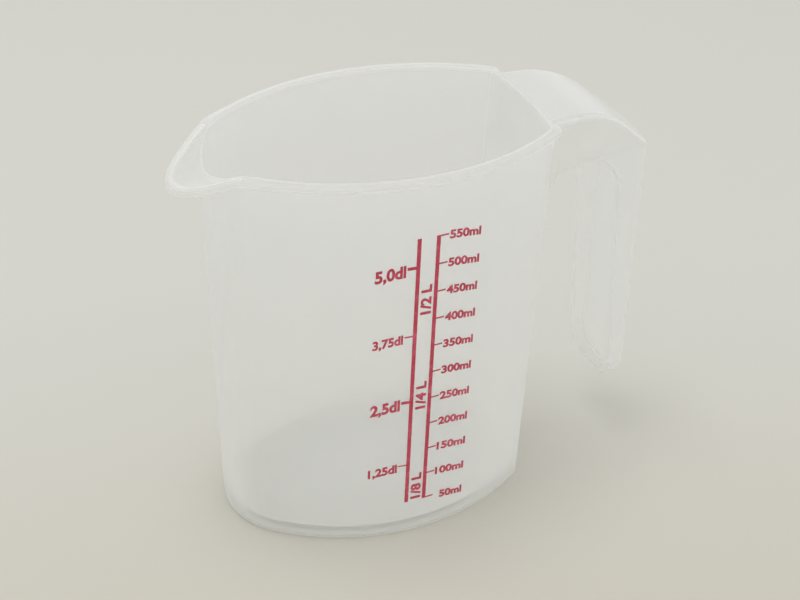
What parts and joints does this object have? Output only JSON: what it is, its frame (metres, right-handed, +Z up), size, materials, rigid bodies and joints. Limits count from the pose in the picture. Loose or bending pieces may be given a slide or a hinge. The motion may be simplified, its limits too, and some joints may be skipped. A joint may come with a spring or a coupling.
{
  "type": "measuring jug",
  "caption": "Translucent measuring jug with a dipping spout, an open channel handle and a printed scale in ml and dl.",
  "frame": {"origin": "on the table, below the middle of the whole length and width", "axes": "+Z up, -X towards the spout, +X towards the handle, the printed scale faces -Y"},
  "size_m": [0.1514, 0.0728, 0.13],
  "materials": {
    "moulding": "milky translucent polypropylene, satin",
    "ink": "printed crimson ink"
  },
  "bodies": {
    "root": {"vessel": "moulding", "rim_flange": "moulding", "pouring_spout": "moulding", "handle_bridge": "moulding", "handle_grip": "moulding", "scale_bars": "ink", "millilitre_lines": "ink", "decilitre_lines": "ink"}
  },
  "joints": []
}
